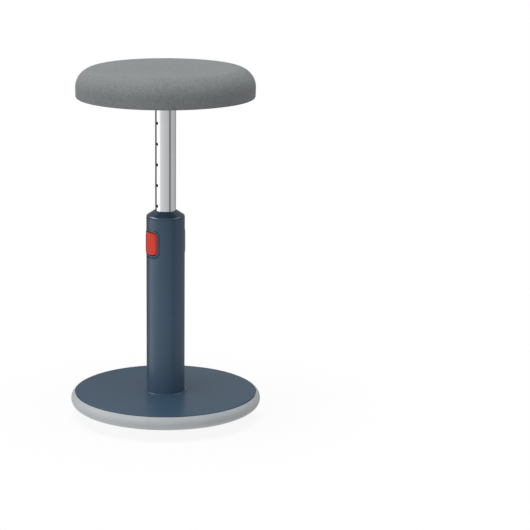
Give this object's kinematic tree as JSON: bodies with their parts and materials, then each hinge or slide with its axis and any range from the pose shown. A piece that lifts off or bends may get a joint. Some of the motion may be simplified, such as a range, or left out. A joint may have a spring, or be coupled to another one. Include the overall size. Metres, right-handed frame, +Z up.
{
  "type": "wobble stool",
  "caption": "Wobble stool: round padded seat on a perforated sliding post in a column with a release button, on a weighted round base with a soft rim and domed sole.",
  "frame": {"origin": "on the floor under the middle of the seat, at the middle of the sole", "axes": "+Z up along the post, -Y towards the release button, +X to the right of someone who faces the button"},
  "size_m": [0.3698, 0.3698, 0.6878],
  "materials": {
    "blue_shell": "satin",
    "grey_soft": "matte",
    "grey_shell": "matte",
    "red_button": "satin",
    "post_chrome": "polished",
    "zinc_steel": "satin",
    "black_steel": "satin",
    "cast_iron": "matte",
    "black_plastic": "matte",
    "dark_rubber": "matte",
    "plywood": "satin",
    "foam": "matte",
    "grey_cloth": "matte",
    "black_cloth": "matte"
  },
  "bodies": {
    "base": {"rocker_shell": "grey_shell", "sole_pad": "dark_rubber", "bumper_ring": "grey_soft", "base_cover": "blue_shell", "base_screw_1": "zinc_steel", "base_screw_2": "zinc_steel", "base_screw_3": "zinc_steel", "base_screw_4": "zinc_steel", "base_screw_5": "zinc_steel", "base_screw_6": "zinc_steel", "counterweight": "cast_iron", "foot_flange": "black_steel", "flange_bolt_1": "zinc_steel", "flange_bolt_2": "zinc_steel", "flange_bolt_3": "zinc_steel", "flange_bolt_4": "zinc_steel", "bottom_buffer": "dark_rubber", "guide_tube": "zinc_steel", "column_sleeve": "blue_shell", "column_foot_ring": "blue_shell", "collar_cap": "blue_shell", "upper_guide_bush": "black_plastic", "button_bezel": "blue_shell", "rear_pad": "blue_shell", "lock_housing": "black_plastic", "lever_pivot_pin": "zinc_steel", "housing_screw_upper": "zinc_steel", "housing_screw_lower": "zinc_steel", "button_spring": "zinc_steel"},
    "lever": {"release_lever": "zinc_steel", "release_button": "red_button"},
    "pin": {"lock_pin": "zinc_steel"},
    "post": {"post_tube": "post_chrome", "post_end_bush": "black_plastic", "seat_mount_plate": "black_steel", "seat_screw_1": "zinc_steel", "seat_screw_2": "zinc_steel", "seat_screw_3": "zinc_steel", "seat_screw_4": "zinc_steel", "tee_nut_1": "zinc_steel", "tee_nut_2": "zinc_steel", "tee_nut_3": "zinc_steel", "tee_nut_4": "zinc_steel", "seat_board": "plywood", "seat_foam": "foam", "seat_cover": "grey_cloth", "seat_underside_cover": "black_cloth"}
  },
  "joints": [
    {"name": "height_slide", "type": "slide", "parent": "base", "child": "post", "axis": [0, 0, 1], "range_m": [-0.2, 0]},
    {"name": "button_rock", "type": "hinge", "parent": "base", "child": "lever", "pos_m": [0, -0.03201, 0.364], "axis": [1, 0, 0], "range_deg": [0, 11], "stiffness_Nm_per_rad": 0.5, "springref_deg": -11.46, "deforming": ["button_spring"]},
    {"name": "pin_slide", "type": "slide", "parent": "base", "child": "pin", "axis": [0, -1, 0], "range_m": [0, 0.003]}
  ],
  "couplings": [
    {"joint": "pin_slide", "follows": "button_rock", "m_per_rad": 0.0156}
  ]
}
